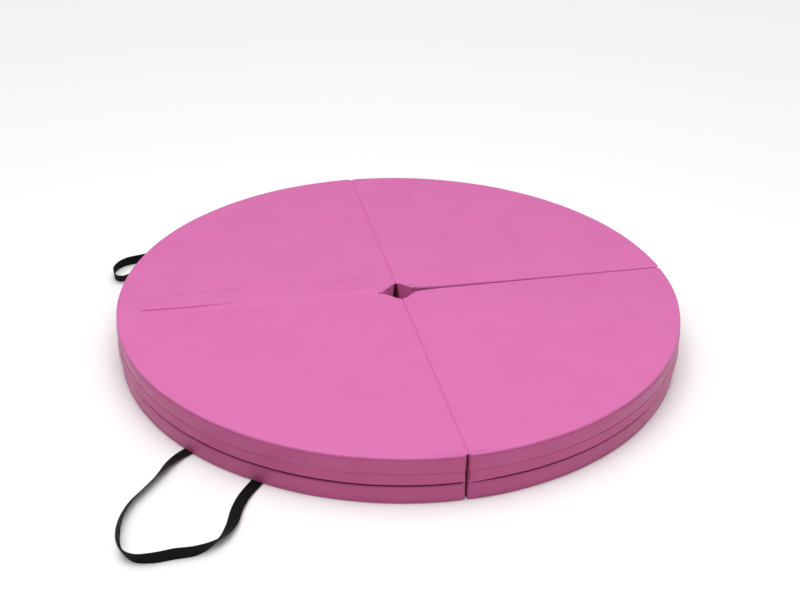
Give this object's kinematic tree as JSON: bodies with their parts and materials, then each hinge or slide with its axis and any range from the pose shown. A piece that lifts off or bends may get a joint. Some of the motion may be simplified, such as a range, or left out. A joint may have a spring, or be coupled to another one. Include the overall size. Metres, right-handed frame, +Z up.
{
  "type": "folding crash mat",
  "caption": "Round folding crash mat: foam quarter pads in zipped covers, fabric hinges, a slit closed by a hook-and-loop flap, a square pole hole and webbing carry handles.",
  "frame": {"origin": "on the floor, at the middle of the pole hole", "axes": "+Z up from the floor; the slit with the flap runs along -X, the bottom hinge along +X and the two top hinges along +Y and -Y"},
  "size_m": [1.2244, 1.28, 0.1077],
  "materials": {
    "cover_top": "smooth semi-matt PU faux leather",
    "cover_side": "smooth semi-matt PU faux leather",
    "foam": "open-cell foam, matt",
    "zip_tape": "woven nylon zip tape and coil",
    "zip_hardware": "coated zip slider and pull",
    "hook_and_loop": "hook-and-loop tape",
    "webbing": "woven polypropylene webbing"
  },
  "bodies": {
    "back_right_pad": {"top_panel_back_right": "cover_top", "bottom_panel_back_right": "cover_side", "radial_wall_back_right": "cover_side", "arc_wall_upper_back_right": "cover_side", "arc_wall_lower_back_right": "cover_side", "foam_upper_back_right": "foam", "foam_lower_back_right": "foam", "zip_tape_back_right": "zip_tape", "zip_chain_back_right": "zip_tape", "hinge_web_back": "cover_top", "hinge_web_right": "cover_side"},
    "back_left_pad": {"top_panel_back_left": "cover_top", "bottom_panel_back_left": "cover_side", "radial_wall_back_left": "cover_side", "arc_wall_upper_back_left": "cover_side", "arc_wall_lower_back_left": "cover_side", "foam_upper_back_left": "foam", "foam_lower_back_left": "foam", "zip_tape_back_left": "zip_tape", "zip_chain_back_left": "zip_tape", "loop_tape": "hook_and_loop", "handle_strap_back": "webbing"},
    "front_left_pad": {"top_panel_front_left": "cover_top", "bottom_panel_front_left": "cover_side", "radial_wall_front_left": "cover_side", "arc_wall_upper_front_left": "cover_side", "arc_wall_lower_front_left": "cover_side", "foam_upper_front_left": "foam", "foam_lower_front_left": "foam", "zip_tape_front_left": "zip_tape", "zip_chain_front_left": "zip_tape", "handle_strap_front": "webbing"},
    "front_right_pad": {"top_panel_front_right": "cover_top", "bottom_panel_front_right": "cover_side", "radial_wall_front_right": "cover_side", "arc_wall_upper_front_right": "cover_side", "arc_wall_lower_front_right": "cover_side", "foam_upper_front_right": "foam", "foam_lower_front_right": "foam", "zip_tape_front_right": "zip_tape", "zip_chain_front_right": "zip_tape", "hinge_web_front": "cover_top"},
    "flap": {"slit_flap": "cover_top", "hook_tape": "hook_and_loop"},
    "back_right_zip": {"zip_slider_back_right": "zip_hardware", "zip_pull_back_right": "zip_hardware"},
    "back_left_zip": {"zip_slider_back_left": "zip_hardware", "zip_pull_back_left": "zip_hardware"},
    "front_left_zip": {"zip_slider_front_left": "zip_hardware", "zip_pull_front_left": "zip_hardware"},
    "front_right_zip": {"zip_slider_front_right": "zip_hardware", "zip_pull_front_right": "zip_hardware"}
  },
  "joints": [
    {"name": "fold_bottom", "type": "hinge", "parent": "back_right_pad", "child": "front_right_pad", "pos_m": [0.3, 0, -0.0003], "axis": [1, 0, 0], "range_deg": [0, 180]},
    {"name": "fold_back", "type": "hinge", "parent": "back_right_pad", "child": "back_left_pad", "pos_m": [0, 0.3, 0.1061], "axis": [0, 1, 0], "range_deg": [0, 180]},
    {"name": "fold_front", "type": "hinge", "parent": "front_right_pad", "child": "front_left_pad", "pos_m": [0, -0.3, 0.1061], "axis": [0, 1, 0], "range_deg": [0, 180]},
    {"name": "flap_peel", "type": "hinge", "parent": "front_left_pad", "child": "flap", "pos_m": [-0.3, -0.002, 0.1058], "axis": [1, 0, 0], "range_deg": [0, 180]},
    {"name": "zip_run_back_right", "type": "hinge", "parent": "back_right_pad", "child": "back_right_zip", "pos_m": [0, 0, 0.0565], "axis": [0, 0, 1], "range_deg": [0, 80]},
    {"name": "zip_run_back_left", "type": "hinge", "parent": "back_left_pad", "child": "back_left_zip", "pos_m": [0, 0, 0.0565], "axis": [0, 0, 1], "range_deg": [0, 80]},
    {"name": "zip_run_front_left", "type": "hinge", "parent": "front_left_pad", "child": "front_left_zip", "pos_m": [0, 0, 0.0565], "axis": [0, 0, 1], "range_deg": [0, 80]},
    {"name": "zip_run_front_right", "type": "hinge", "parent": "front_right_pad", "child": "front_right_zip", "pos_m": [0, 0, 0.0565], "axis": [0, 0, 1], "range_deg": [0, 80]}
  ],
  "couplings": [
    {"joint": "fold_front", "follows": "fold_back", "ratio": 1}
  ]
}
